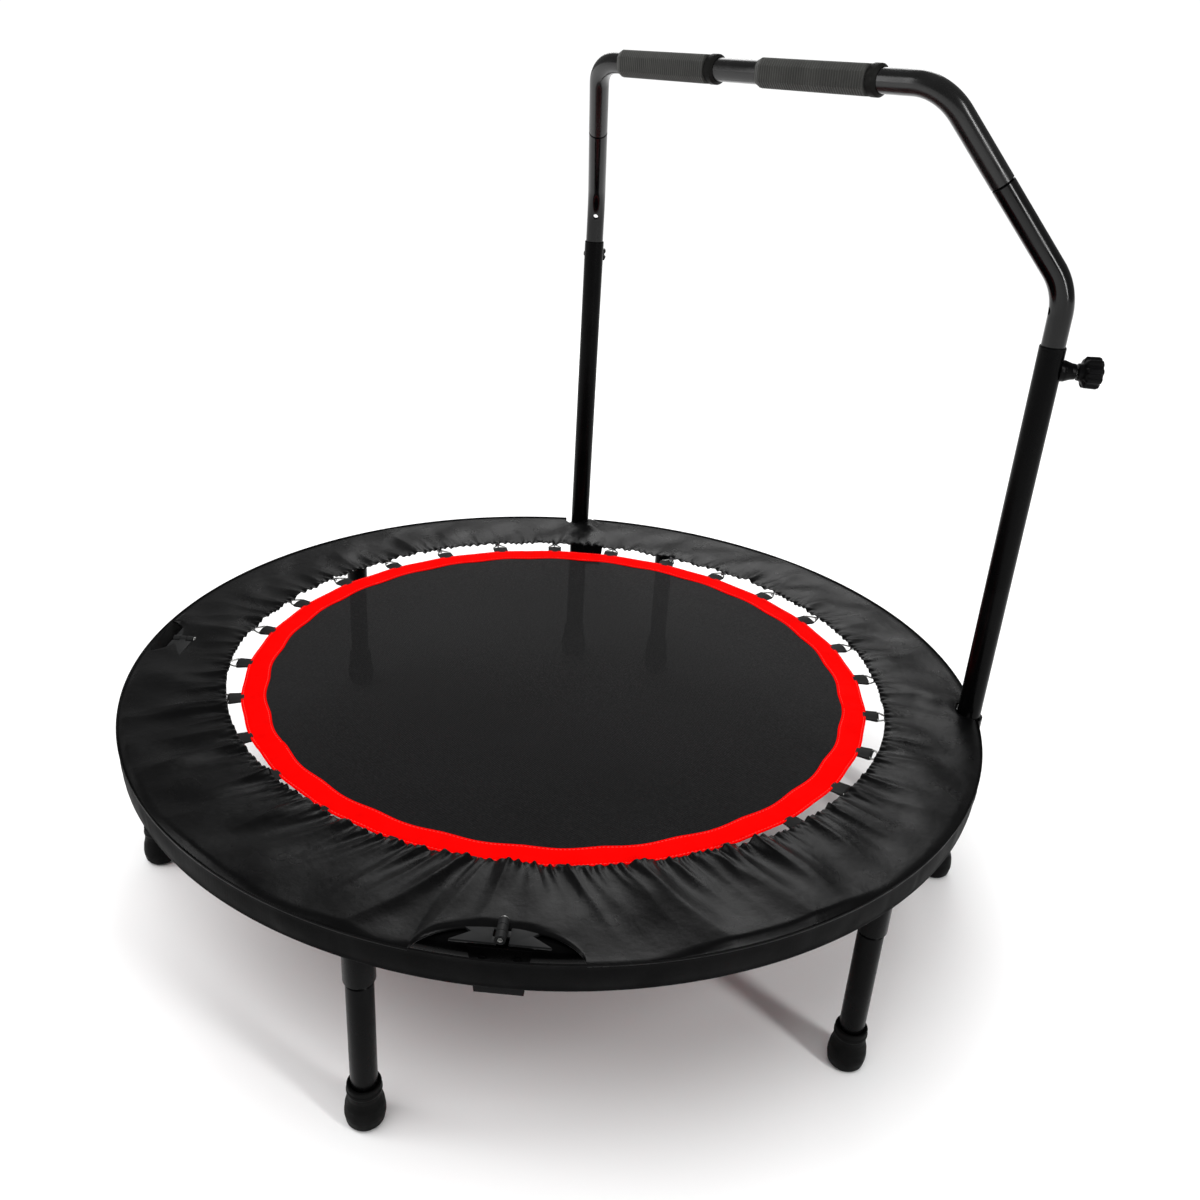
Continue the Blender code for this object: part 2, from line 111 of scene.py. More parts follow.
LEAF_LOW, LEAF_HIGH = (0.4600, 0.2403), (0.4845, 0.2433)  # radius and height
PIN_Z = {angle: middle(f"hinge_pin_{angle:03d}").z for angle in HINGE_ANGLES}
BRACKET_Z = (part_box("post_bracket_right")[0].z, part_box("post_bracket_right")[1].z)
BRACKET_R = (0.4853, 0.4877)
BOLT_TURNS = (6.2, 8.7)  # from the post to each bolt of its bracket, degrees

MAT_R = -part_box("mat_front")[0].x
MAT_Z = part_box("mat_front")[0].z
BORDER_R = (MAT_R + 0.0005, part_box("border_rear")[1].y)
SPRING_Z = middle("spring_row_front").z
SPRING_COUNT = 28
SKIRT_R = -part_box("skirt_front")[0].x
SKIRT_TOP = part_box("skirt_front")[1].z
SKIRT_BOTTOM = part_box("skirt_front")[0].z
FRONT = 310  # the side of the skirt that has slipped inward over the border

# ---- mesh helpers ----


def polar(radius, degrees, z=0.0):
    """A point at a radius and an angle round Z."""
    turn = math.radians(degrees)
    return Vector((radius * math.cos(turn), radius * math.sin(turn), z))


def up(z):
    return Vector((0, 0, z))


def aimed(point, direction):
    """Puts local +Z along a direction, at a point."""
    return Matrix.Translation(point) @ Vector(direction).to_track_quat("Z", "Y").to_matrix().to_4x4()


def on_ring(degrees, radius=0.0, z=0.0):
    """A frame at a place on the ring: local X is radial, local Y runs along the ring."""
    return Matrix.Translation(polar(radius, degrees, z)) @ Matrix.Rotation(math.radians(degrees), 4, "Z")


def circle(sides):
    """Directions round a circle, as (cosine, sine)."""
    turns = [math.tau * k / sides for k in range(sides)]
    return [(math.cos(turn), math.sin(turn)) for turn in turns]


def rounded(corners, bend, steps=6):
    """A path through corners, with an arc at each inner corner that shrinks where its sides are short."""
    points = [Vector(corner) for corner in corners]
    path = [points[0]]
    for before, corner, after in zip(points, points[1:], points[2:]):
        back, ahead = before - corner, after - corner
        half = back.angle(ahead) / 2
        if half > math.radians(89.5):
            path.append(corner)
            continue
        reach = min(bend / math.tan(half), 0.48 * back.length, 0.48 * ahead.length)
        radius = reach * math.tan(half)
        centre = corner + (back.normalized() + ahead.normalized()).normalized() * radius / math.sin(half)
        first = (corner + back.normalized() * reach - centre).normalized()
        last = (corner + ahead.normalized() * reach - centre).normalized()
        path += [centre + first.slerp(last, k / steps) * radius for k in range(steps + 1)]
    return path + [points[-1]]


def skin(maker, rings, closed_loop=False, caps=True):
    """Joins rings of points, all of one length, into a skin in a bmesh, and returns its rows."""
    rows = [[maker.verts.new(point) for point in ring] for ring in rings]
    pairs = list(zip(rows, rows[1:]))
    if closed_loop:
        pairs.append((rows[-1], rows[0]))
    count = len(rows[0])
    for low, high in pairs:
        for k in range(count):
            after = (k + 1) % count
            maker.faces.new((low[k], low[after], high[after], high[k]))
    if caps and not closed_loop:
        maker.faces.new(rows[0][::-1])
        maker.faces.new(rows[-1])
    return rows


def tube_rings(path, radius, sides, closed=False):
    """Circles along a path. The radius is a number, or one for each point."""
    points = [Vector(point) for point in path]
    count = len(points)
    radii = radius if hasattr(radius, "__len__") else [radius] * count
    tangent = (points[1] - points[0]).normalized()
    side = tangent.orthogonal().normalized()
    rings = []
    for index, point in enumerate(points):
        before = points[index - 1] if index or closed else point
        after = points[(index + 1) % count] if index + 1 < count or closed else point
        turned = (after - before).normalized()
        side = tangent.rotation_difference(turned) @ side
        tangent = turned
        other = tangent.cross(side)
        rings.append([point + (side * c + other * s) * radii[index] for c, s in circle(sides)])
    return rings


def sweep(maker, path, radius, sides=24, closed=False, caps=True):
    """A round bar along a path."""
    skin(maker, tube_rings(path, radius, sides, closed), closed, caps)


def hollow(maker, path, outer, inner, sides=40):
    """A tube with a wall, open at both ends."""
    skin(maker, tube_rings(path, outer, sides) + tube_rings(path, inner, sides)[::-1], closed_loop=True)


def lathe(maker, profile, place=Matrix.Identity(4), sides=48, bend=0.0006, swell=None):
    """A turned solid about local Z from (radius, z) corners, whose first and last lie on the axis.

    swell(turn, z) scales a point's radius, for lobes and flutes.
    """
    path = rounded([(radius, 0, z) for radius, z in profile], bend, 3)[1:-1]
    rings = []
    for point in path:
        ring = []
        for k, (c, s) in enumerate(circle(sides)):
            radius = point.x * (swell(math.tau * k / sides, point.z) if swell else 1)
            ring.append(place @ Vector((radius * c, radius * s, point.z)))
        rings.append(ring)
    rows = skin(maker, rings, caps=False)
    bottom, top = [maker.verts.new(place @ up(z)) for z in (profile[0][1], profile[-1][1])]
    for k in range(sides):
        after = (k + 1) % sides
        maker.faces.new((bottom, rows[0][after], rows[0][k]))
        maker.faces.new((top, rows[-1][k], rows[-1][after]))


def sleeve(maker, profile, place=Matrix.Identity(4), sides=48, bend=0.0006):
    """A turned ring about local Z from a closed run of (radius, z) corners."""
    corners = [(radius, 0, z) for radius, z in profile]
    path = rounded([corners[-1], *corners, corners[0]], bend, 3)[1:-1]
    rings = [[place @ Vector((p.x * c, p.x * s, p.z)) for c, s in circle(sides)] for p in path]
    skin(maker, rings, closed_loop=True)


def plate(maker, outline, low, high, place=Matrix.Identity(4), bevel=0.0005):
    """A flat plate from an outline of (x, y) points, between two heights, with rounded edges."""
    made = bmesh.new()
    base = made.faces.new([made.verts.new((x, y, low)) for x, y in outline])
    grown = bmesh.ops.extrude_face_region(made, geom=[base])
    lifted = [item for item in grown["geom"] if isinstance(item, bmesh.types.BMVert)]
    bmesh.ops.translate(made, vec=(0, 0, high - low), verts=lifted)
    bmesh.ops.bevel(made, geom=made.edges[:], offset=bevel, segments=2, profile=0.5, affect="EDGES")
    bmesh.ops.transform(made, matrix=place, verts=made.verts)
    mesh = mesh_of("part", made)
    maker.from_mesh(mesh)
    bpy.data.meshes.remove(mesh)


def mesh_of(name, maker):
    """Turns a bmesh into a mesh."""
    mesh = bpy.data.meshes.new(name)
    maker.to_mesh(mesh)
    maker.free()
    return mesh


def add(name, data):
    """Puts a new object in the scene."""
    thing = bpy.data.objects.new(name, data)
    bpy.context.scene.collection.objects.link(thing)
    return thing


def show(name, mesh, finish, body=None, node=None, sharp=40):
    """Makes a piece of a mesh. It rides on a body, or on the body of the CAD nodes that it stands for; with
    the body 'bend' it is left on no body.
    """
    mesh.name = name
    mesh.materials.append(finish)
    mesh.shade_smooth()
    mesh.set_sharp_from_angle(angle=math.radians(sharp))
    thing = add(name, mesh)
    nodes = [node] if isinstance(node, str) else list(node or [])
    if nodes:
        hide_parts(*nodes)
    if body != "bend":
        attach(thing, body or BODY_OF[nodes[0]])
    return thing


def piece(name, maker, finish, body=None, node=None, sharp=40):
    """Makes a piece of a bmesh."""
    bmesh.ops.recalc_face_normals(maker, faces=maker.faces)
    return show(name, mesh_of(name, maker), finish, body, node, sharp)


def grid_mesh(points, closed=True, section_closed=False):
    """A mesh from an array of points: cross-sections round the ring, each a row of points."""
    count, across = points.shape[:2]
    numbers = np.arange(count * across).reshape(count, across)
    low = numbers if closed else numbers[:-1]
    high = np.roll(numbers, -1, axis=0) if closed else numbers[1:]
    if section_closed:
        quads = np.stack([low, np.roll(low, -1, 1), np.roll(high, -1, 1), high], axis=2)
    else:
        quads = np.stack([low[:, :-1], low[:, 1:], high[:, 1:], high[:, :-1]], axis=2)
    mesh = bpy.data.meshes.new("grid")
    mesh.from_pydata(points.reshape(-1, 3).tolist(), [], quads.reshape(-1, 4)[:, ::-1].tolist())
    return mesh


def around(radii, angles, heights):
    """Points from arrays of radius, angle in radians and height, which broadcast together."""
    radii, angles, heights = np.broadcast_arrays(radii, angles, heights)
    return np.stack([radii * np.cos(angles), radii * np.sin(angles), heights], axis=-1)


def bell(x):
    """A bell curve, 1 at 0."""
    return np.exp(-(x**2))


def ease(x):
    """Smooth step from 0 to 1."""
    x = np.clip(x, 0, 1)
    return x * x * (3 - 2 * x)


def wrapped(angles):
    """Brings angles in radians to between half a turn back and half a turn ahead."""
    return (angles + math.pi) % math.tau - math.pi


def turned_from(angles, degrees):
    """Signed angle from a direction, in degrees, for an array in radians."""
    return np.degrees(wrapped(angles - math.radians(degrees)))


def across_fold(thing):
    """Bakes the placement of a piece of cloth into its mesh; it does not bend it across the fold line."""
    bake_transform(thing)


# ---- materials ----


class Finish:
    """A Principled material made of procedural nodes, for one material slot of the record."""

    def __init__(self, name, slot, colour, roughness, metallic=0.0, **sockets):
        self.material = bpy.data.materials.new(name)
        self.material.use_nodes = True
        self.material["slot"] = slot
        self.tree = self.material.node_tree
        self.shader = self.tree.nodes["Principled BSDF"]
        self.shader.inputs["Base Color"].default_value = (*colour, 1)
        self.shader.inputs["Roughness"].default_value = roughness
        self.shader.inputs["Metallic"].default_value = metallic
        for socket, value in sockets.items():
            self.shader.inputs[socket.replace("_", " ")].default_value = value
        self.place = self.tree.nodes.new("ShaderNodeTexCoord").outputs["Object"]

    def node(self, kind, inputs=(), **settings):
        """A node with its inputs set or linked, by name or number."""
        made = self.tree.nodes.new(kind)
        for key, value in settings.items():
            setattr(made, key, value)
        for key, value in dict(inputs).items():
            if isinstance(value, bpy.types.NodeSocket):
                self.tree.links.new(value, made.inputs[key])
            else:
                made.inputs[key].default_value = value
        return made

    def noise(self, scale, detail=3.0, stretch=(1, 1, 1)):
        place = self.node("ShaderNodeMapping", {"Vector": self.place, "Scale": stretch}).outputs[0]
        made = self.node("ShaderNodeTexNoise", {"Vector": place, "Scale": scale, "Detail": detail})
        return made.outputs["Fac"]

    def ramp(self, value, low, high, start=0.0, end=1.0):
        """Maps a value from low..high to start..end."""
        made = self.node("ShaderNodeMapRange", {0: value, 1: low, 2: high, 3: start, 4: end})
        return made.outputs[0]

    def maths(self, operation, first, second=0.0):
        return self.node("ShaderNodeMath", {0: first, 1: second}, operation=operation).outputs[0]

    def blend(self, share, first, second):
        """A colour between two colours."""
        inputs = {"Factor": share}
        for number, colour in ((6, first), (7, second)):
            inputs[number] = colour if isinstance(colour, bpy.types.NodeSocket) else (*colour, 1)
        return self.node("ShaderNodeMix", inputs, data_type="RGBA").outputs[2]

    def put(self, socket, value):
        self.tree.links.new(value, self.shader.inputs[socket])

    def bump(self, *layers):
        """Stacks bumps of (height, strength, distance)."""
        normal = None
        for height, strength, distance in layers:
            inputs = {"Height": height, "Strength": strength, "Distance": distance}
            if normal:
                inputs["Normal"] = normal
            normal = self.node("ShaderNodeBump", inputs).outputs[0]
        self.put("Normal", normal)

    def waves(self, pitch, direction):
        """A sine wave along one axis of the object, from 0 to 1."""
        axes = self.node("ShaderNodeSeparateXYZ", {0: self.place}).outputs
        turned = self.maths("MULTIPLY", axes["XYZ".index(direction)], math.tau / pitch)
        return self.maths("MULTIPLY_ADD", self.maths("SINE", turned), 0.5)


def paint(name, slot, colour, roughness, specular):
    """Baked powder paint: fine orange peel, uneven gloss and a little dust."""
    made = Finish(name, slot, colour, roughness, Specular_IOR_Level=specular)
    made.put("Roughness", made.ramp(made.noise(35, 4), 0.3, 0.75, roughness - 0.05, roughness + 0.10))
    dust = made.ramp(made.noise(14, 6), 0.55, 0.85)
    made.put("Base Color", made.blend(dust, colour, [1.8 * c + 0.002 for c in colour]))
    made.bump((made.noise(900, 2), 0.10, 0.0003), (made.noise(60, 2), 0.05, 0.001))
    return made.material


def plated(name, slot, colour, roughness):
    """Zinc plate: brushed, with dull patches."""
    made = Finish(name, slot, colour, roughness, 1.0)
    patches = made.noise(160, 5)
    made.put("Roughness", made.ramp(patches, 0.3, 0.7, roughness, roughness + 0.22))
    made.put("Base Color", made.blend(made.ramp(patches, 0.4, 0.8), colour, [c * 0.6 for c in colour]))
    made.bump((made.noise(1400, 2, (1, 1, 0.15)), 0.15, 0.0002))
    return made.material


def rubber(name, slot, colour, roughness):
    made = Finish(name, slot, colour, roughness, Specular_IOR_Level=0.06)
    scuffs = made.ramp(made.noise(70, 5), 0.55, 0.8)
    made.put("Base Color", made.blend(scuffs, colour, [c * 2.2 for c in colour]))
    made.put("Roughness", made.ramp(made.noise(120, 3), 0.3, 0.7, roughness - 0.08, roughness + 0.12))
    made.bump((made.noise(700, 3), 0.25, 0.0003))
    return made.material


def foam():
    """Skinned foam: fine open cells under a matt, slightly dusty skin."""
    colour = (0.024, 0.0245, 0.022)
    made = Finish("foam", "grip_foam", colour, 0.85, Specular_IOR_Level=0.25, Sheen_Weight=0.25)
    cells = made.node("ShaderNodeTexVoronoi", {"Vector": made.place, "Scale": 1500}).outputs["Distance"]
    worn = made.ramp(made.noise(45, 5), 0.4, 0.75)
    made.put("Base Color", made.blend(worn, colour, [c * 1.5 for c in colour]))
    made.bump((cells, 0.35, 0.0004), (made.noise(300, 4), 0.25, 0.0005))
    return made.material


def mat_weave():
    """Woven black polypropylene: flat tapes over and under, so fine that the floor glows through."""
    made = Finish("mat_weave", "mat_weave", (0.004, 0.004, 0.0042), 0.62, Specular_IOR_Level=0.10,
                  Alpha=0.993)
    pitch = 0.0024
    warp, weft = made.waves(pitch, "X"), made.waves(pitch, "Y")
    check = made.node("ShaderNodeTexChecker", {"Vector": made.place, "Scale": 2 / pitch}).outputs["Fac"]
    over = made.node("ShaderNodeMix", {"Factor": check, "A": warp, "B": weft}, data_type="FLOAT").outputs[0]
    specks = made.noise(420, 3)
    wear = made.ramp(made.noise(5, 4), 0.35, 0.7)
    # Painted shade: the base colour is darkened to half in the dips of the weave, where one tape runs under
    # the next, and random specks dim it a little more.
    specks_and_dip_shade = made.maths("MULTIPLY", made.ramp(specks, 0.3, 0.7, 0.85, 1.0), made.ramp(over, 0, 1, 0.5, 1.0))
    lighter = made.blend(wear, (0.0030, 0.0030, 0.0032), (0.0048, 0.0048, 0.0052))
    made.put("Base Color", made.blend(specks_and_dip_shade, (0.0015, 0.0015, 0.0017), lighter))
    made.put("Roughness", made.ramp(specks, 0.3, 0.7, 0.55, 0.72))
    made.bump((over, 0.5, 0.0004), (made.noise(9, 2), 0.25, 0.003))
    return made.material


def woven(name, slot, colour, dark, roughness, pitch, crinkle=0.0, **sockets):
    """Tight ribbed or plain cloth with a soft mottle and, for thin cloth, small crinkles."""
    made = Finish(name, slot, colour, roughness, **sockets)
    threads = made.maths("MULTIPLY", made.waves(pitch, "X"), made.waves(pitch, "Y"))
    mottle = made.ramp(made.noise(55, 5), 0.3, 0.75)
    made.put("Base Color", made.blend(mottle, dark, colour))
    made.put("Roughness", made.ramp(made.noise(25, 3), 0.3, 0.7, roughness - 0.06, roughness + 0.08))
    made.bump((threads, 0.25, 0.0002), (made.noise(260, 4), 0.2, 0.0004), (made.noise(42, 4), crinkle, 0.004))
    return made.material


BLACK = (0.0012, 0.0012, 0.0013)
CLOTH = (0.0014, 0.0014, 0.0015), (0.0007, 0.0007, 0.0008)  # light and dark parts of its mottle
PAINT = paint("black_paint", "black_paint", BLACK, 0.24, 0.05)
GLOSS_PAINT = paint("gloss_paint", "black_paint", BLACK, 0.13, 0.32)
BAR_PAINT = paint("dark_paint", "dark_paint", (0.0040, 0.0040, 0.0040), 0.20, 0.45)
HINGE_PAINT = paint("hinge_paint", "black_paint", (0.010, 0.0102, 0.0105), 0.48, 0.2)
ZINC = plated("plated_steel", "plated_steel", (0.62, 0.62, 0.60), 0.22)
SPRING = plated("spring_steel", "spring_steel", (0.42, 0.42, 0.43), 0.28)
RUBBER = rubber("black_rubber", "black_rubber", (0.0025, 0.0025, 0.0025), 0.55)
CAP = rubber("cap_rubber", "black_rubber", (0.008, 0.008, 0.0075), 0.5)
KNOB = rubber("knob_plastic", "knob_plastic", (0.0025, 0.0025, 0.0027), 0.36)
FOAM = foam()
MAT = mat_weave()
RED = woven("red_border", "red_border", (0.80, 0.0008, 0.0004), (0.68, 0.0004, 0.0002), 0.66, 0.0011,
            Specular_IOR_Level=0.01)
RED_THREAD = woven("red_thread", "red_border", (0.82, 0.03, 0.025), (0.75, 0.02, 0.015), 0.6, 0.0006)
SKIRT = woven("skirt_fabric", "skirt_fabric", *CLOTH, 0.30, 0.0009, crinkle=0.2, Specular_IOR_Level=0.15)
BAND = woven("skirt_band", "skirt_fabric", *CLOTH, 0.60, 0.0009, Specular_IOR_Level=0.05)
WEBBING = woven("webbing", "skirt_fabric", (0.008, 0.008, 0.008), (0.003, 0.003, 0.003), 0.7, 0.0016,
                Specular_IOR_Level=0.25)

# ---- ring, legs and feet ----


def ring_arc(where, start):
    """A quarter of the ring with its welded leg sockets."""
    made = bmesh.new()
    low, high = start + ARC_END_GAP, start + 90 - ARC_END_GAP
    steps = 72
    path = [polar(RING_R, low + (high - low) * k / steps, RING_Z) for k in range(steps + 1)]
    sweep(made, path, RING_TUBE_R, 32)
    for angle in LEG_ANGLES:
        if 0 < (angle - start) % 360 < 90:
            top = RING_Z + 0.004
            profile = [(0, SOCKET_BOTTOM), (SOCKET_R, SOCKET_BOTTOM), (SOCKET_R, RING_Z - 0.010),
                       (SOCKET_R + 0.0010, RING_Z - 0.006), (SOCKET_R, RING_Z), (SOCKET_R, top), (0, top)]
            lathe(made, profile, Matrix.Translation(polar(LEG_R, angle)))
    piece(f"ring_tube_{where}", made, PAINT, node=f"ring_arc_{where}")


def leg(angle):
    """A leg tube with a rolled shoulder under its socket."""
    made = bmesh.new()
    shoulder = SOCKET_BOTTOM - 0.0005
    profile = [(0, FOOT_TOP - 0.02), (LEG_TUBE_R, FOOT_TOP - 0.02), (LEG_TUBE_R, shoulder - 0.0035),
               (LEG_TUBE_R - 0.0012, shoulder - 0.002), (LEG_TUBE_R - 0.0012, shoulder), (0, shoulder)]
    lathe(made, profile, Matrix.Translation(polar(LEG_R, angle)), bend=0.001)
    piece(f"leg_tube_{angle:03d}", made, PAINT, node=f"leg_{angle:03d}")


def foot(name, place, tube_r, node):
    """A rubber bulb with a collar round the tube."""
    made = bmesh.new()
    bulb = FOOT_R + tube_r - LEG_TUBE_R
    collar = 0.0165
    rim = tube_r + 0.0003
    profile = [(0, 0), (bulb * 0.78, 0), (bulb * 0.93, 0.004), (bulb, 0.0125), (bulb, 0.0165),
               (bulb * 0.95, 0.025), (bulb * 0.88, 0.030), (collar + 0.0004, 0.0325), (collar, 0.0345),
               (collar, 0.0400), (collar + 0.0006, 0.0410), (collar + 0.0006, 0.0435), (collar, 0.0445),
               (collar, FOOT_TOP), (rim, FOOT_TOP), (rim, FOOT_TOP - 0.004), (0, FOOT_TOP - 0.004)]
    lathe(made, profile, Matrix.Translation(place), sides=56, bend=0.0022)
    piece(name, made, RUBBER, node=node, sharp=60)


# ---- hinges ----


def swallowtail(side):
    """Half a hinge plate: its far end has a V notch. Local X is radial, local Y runs along the ring."""
    inner, outer = LEAF_LOW[0], LEAF_HIGH[0]
    centre = (inner + outer) / 2
    near, notch, far = 0.0075 * side, 0.027 * side, 0.045 * side
    points = [(inner, near), (outer, near), (outer, far), (centre, notch), (inner, far)]
    return points if side > 0 else points[::-1]


def knuckles(side):
    """Where the knuckles stand along the pin: one in the middle, or one at each end."""
    low, high = LEAF_LOW[0], LEAF_HIGH[0]
    third = (high - low) / 3
    if side > 0:
        return [(low + third + 0.00025, high - third - 0.00025)]
    return [(low, low + third - 0.00025), (high - third + 0.00025, high)]


def hinge_leaf(angle, letter, side):
    """A forked plate welded to a tube's end, with its knuckles and two weld beads."""
    made = bmesh.new()
    place = on_ring(angle)
    plate(made, swallowtail(side), LEAF_LOW[1], LEAF_HIGH[1], place)
    for low, high in knuckles(side):
        start = place @ Vector((low, 0, PIN_Z[angle]))
        end = place @ Vector((high, 0, PIN_Z[angle]))
        sweep(made, [start, end], 0.005, 32)
        near, far = sorted((0.0034 * side, 0.009 * side))
        web = [(low, near), (high, near), (high, far), (low, far)]
        plate(made, web, LEAF_LOW[1] + 0.0001, LEAF_HIGH[1] - 0.0001, place, 0.0002)
    for radius in (RING_R - 0.0085, RING_R + 0.0085):
        bead = [place @ Vector((radius, side * (0.012 + 0.003 * k), 0.2385)) for k in range(10)]
        sweep(made, bead, [0.0017 + 0.0004 * math.sin(2.4 * k) for k in range(10)], 10)
    name = f"{angle:03d}_{letter}"
    piece(f"hinge_plate_{name}", made, HINGE_PAINT, node=f"hinge_leaf_{name}", sharp=30)


def hinge_pin(angle):
    made = bmesh.new()
    profile = [(0, -0.0024), (0.0034, -0.0024), (0.0045, -0.0016), (0.0045, -0.0003), (0.0024, -0.0003),
               (0.0024, LEAF_HIGH[0] - LEAF_LOW[0] + 0.0002), (0, LEAF_HIGH[0] - LEAF_LOW[0] + 0.0002)]
    lathe(made, profile, aimed(polar(LEAF_LOW[0], angle, PIN_Z[angle]), polar(1, angle)), 32)
    piece(f"hinge_rivet_{angle:03d}", made, ZINC, node=f"hinge_pin_{angle:03d}")


def hinge_saddle(angle, body):
    """The U-shaped channel under a ring joint. The front one shows two screw heads."""
    made = bmesh.new()
    half, wall = 0.0133, 0.0015
    low, top = 0.1860, 0.2385
    length, slant = 0.028, 0.006  # half of the channel's length at the top, and what it loses at the bottom
    inner, outer = RING_R - half, RING_R + half
    outline = [(inner - wall, top), (inner - wall, low), (outer + wall, low), (outer + wall, top),
               (outer, top), (outer, low + wall), (inner, low + wall), (inner, top)]
    path = rounded([(x, 0, z) for x, z in outline], 0.002, 3)
    place = on_ring(angle)
    rings = []
    for share in (-1, 1):
        lean = [length - slant * (top - point.z) / (top - low) for point in path]
        rings.append([place @ Vector((p.x, share * reach, p.z)) for p, reach in zip(path, lean)])
    skin(made, rings)
    for share in (-0.55, 0.55) if angle == 315 else ():
        head = [(0, 0), (0.0042, 0), (0.0042, 0.0010), (0.0026, 0.0024), (0, 0.0026)]
        spot = place @ Vector((outer + wall, share * length, 0.226))
        lathe(made, head, aimed(spot, polar(1, angle)), 24, 0.0004)
    piece(f"hinge_saddle_{angle:03d}", made, PAINT, body=body, sharp=30)


# ---- posts and support bar ----


def post(where):
    """Where a post stands on the floor."""
    return Vector((*middle(f"post_foot_{where}").xy, 0))


def outward(where):
    """The direction from the middle of the ring to a post."""
    return post(where).normalized()


def off_post(where, reach, z):
    """Local +Z points outward, at a reach from a post's axis and a height."""
    return aimed(post(where) + outward(where) * reach + up(z), outward(where))


def post_angle(where):
    return math.degrees(math.atan2(post(where).y, post(where).x))


def pierced(thing, spots, direction):
    """Drills round holes through a tube."""
    for spot in spots:
        drill = bmesh.new()
        sweep(drill, [spot - direction * 0.02, spot + direction * 0.02], HOLE_R, 20)
        bmesh.ops.recalc_face_normals(drill, faces=drill.faces)
        tool = add("cutter", mesh_of("cutter", drill))
        cut = thing.modifiers.new("cut", "BOOLEAN")
        cut.operation = "DIFFERENCE"
        cut.solver = "EXACT"
        cut.object = tool
        bpy.context.view_layer.update()
        shape = thing.evaluated_get(bpy.context.evaluated_depsgraph_get())
        result = bpy.data.meshes.new_from_object(shape)
        thing.modifiers.clear()
        thing.data = result
        bpy.data.objects.remove(tool)


def lower_post(where):
    """A post with a rolled rim and the conical weld nut of its clamp knob."""
    made = bmesh.new()
    base = post(where)
    rim = POST_TOP - 0.0012
    path = [base + up(z) for z in (FOOT_TOP - 0.02, 0.3, 0.5, POST_TOP - 0.004)]
    sweep(made, path, POST_TUBE_R, 48, caps=False)
    ring = [(POST_TUBE_R, POST_TOP - 0.0041), (POST_TUBE_R, rim), (POST_TUBE_R - 0.0008, POST_TOP),
            (BAR_TUBE_R + 0.0003, POST_TOP), (BAR_TUBE_R + 0.0003, POST_TOP - 0.0041)]
    sleeve(made, ring, Matrix.Translation(base), 48, 0.0004)
    nut = [(0, 0.008), (0.0122, 0.010), (0.0112, 0.0145), (0.0112, 0.0165), (0.0088, 0.0235), (0.0082, 0.028),
           (0, 0.028)]
    lathe(made, nut, off_post(where, 0, KNOB_Z), 40, 0.0008)
    piece(f"post_tube_{where}", made, PAINT, node=f"lower_post_{where}")


def post_bracket(where):
    """A saddle plate on the ring's outer flank, with a strap round the post and its pinch screws."""
    side = SIDES[where]
    made = bmesh.new()
    base = post(where)
    start, end = sorted((post_angle(where) - side * 2.6, post_angle(where) + side * 10.2))
    inner, outer = BRACKET_R
    low, high = BRACKET_Z
    steps = 28
    rings = []
    for k in range(steps + 1):
        turn = start + (end - start) * k / steps
        corners = [(inner, low), (outer, low), (outer, high), (inner, high)]
        rings.append([polar(r, turn, z) for r, z in corners])
    skin(made, rings)
    strap = POST_TUBE_R + 0.0028
    ring = [(POST_TUBE_R + 0.0004, low), (strap, low), (strap, high), (POST_TUBE_R + 0.0004, high)]
    sleeve(made, ring, Matrix.Translation(base), 48, 0.0005)
    piece(f"post_clamp_{where}", made, PAINT, node=f"post_bracket_{where}", sharp=30)
    screws = bmesh.new()
    around_post = Matrix.Rotation(math.radians(-side * 78), 3, "Z") @ outward(where)
    for z in (low + 0.0045, high - 0.0045):
        head = [(0, -0.001), (0.0042, -0.001), (0.0042, 0.0012), (0.0030, 0.0028), (0, 0.0031)]
        lathe(screws, head, aimed(base + around_post * strap + up(z), around_post), 28, 0.0005)
    piece(f"pinch_screws_{where}", screws, ZINC, body=BODY_OF[f"post_bracket_{where}"])


def bracket_bolt(where, number, turn):
    """A button-head bolt with a hexagon socket."""
    made = bmesh.new()
    mid = sum(BRACKET_Z) / 2
    wall = BRACKET_R[1] - BRACKET_R[0] + 0.0003
    profile = [(0, 0.0001), (0.003, 0.0001), (0.003, wall), (0.0055, wall), (0.0055, wall + 0.0012),
               (0.0040, wall + 0.0036), (0.0021, wall + 0.0039), (0.0019, wall + 0.0018), (0, wall + 0.0016)]
    lathe(made, profile, aimed(polar(BRACKET_R[0], turn, mid), polar(1, turn)), 32, 0.0003)
    piece(f"button_bolt_{where}_{number}", made, ZINC, node=f"bracket_bolt_{where}_{number}")


def knob(where):
    """A fluted clamp knob with a hub, and its threaded stud."""
    made = bmesh.new()
    flutes = 9

    def fluted(turn, z):
        if z < 0.0058:
            return 1
        return 1 + 0.075 * math.tanh(3.2 * math.cos(flutes * turn))

    profile = [(0, 0.0004), (0.0088, 0.0004), (0.0092, 0.0030), (0.0100, 0.0050), (0.0135, 0.0066),
               (0.0154, 0.0082), (0.0158, 0.0205), (0.0150, 0.0228), (0.0128, 0.0240), (0.0108, 0.0240),
               (0.0102, 0.0232), (0, 0.0230)]
    lathe(made, profile, off_post(where, 0.0295, KNOB_Z), sides=144, bend=0.0008, swell=fluted)
    piece(f"hand_knob_{where}", made, KNOB, node=f"clamp_knob_{where}", sharp=50)
    stud = bmesh.new()
    threads = 26
    start = BAR_TUBE_R + 0.0004
    length = 0.0445 - start
    thread = [(0, 0)]
    for k in range(threads):
        thread += [(0.0033, length * (k + 0.1) / threads), (0.0040, length * (k + 0.6) / threads)]
    thread.append((0, length))
    lathe(stud, thread, off_post(where, start, KNOB_Z), 24, 0.0002)
    piece(f"knob_thread_{where}", stud, ZINC, node=f"knob_stud_{where}", sharp=60)


def slant_points(where):
    """Low bend and bar corner, on one side."""
    return post(where) + up(LOW_BEND_Z), Vector((SIDES[where] * BAR_HALF, BAR_Y, BAR_Z))


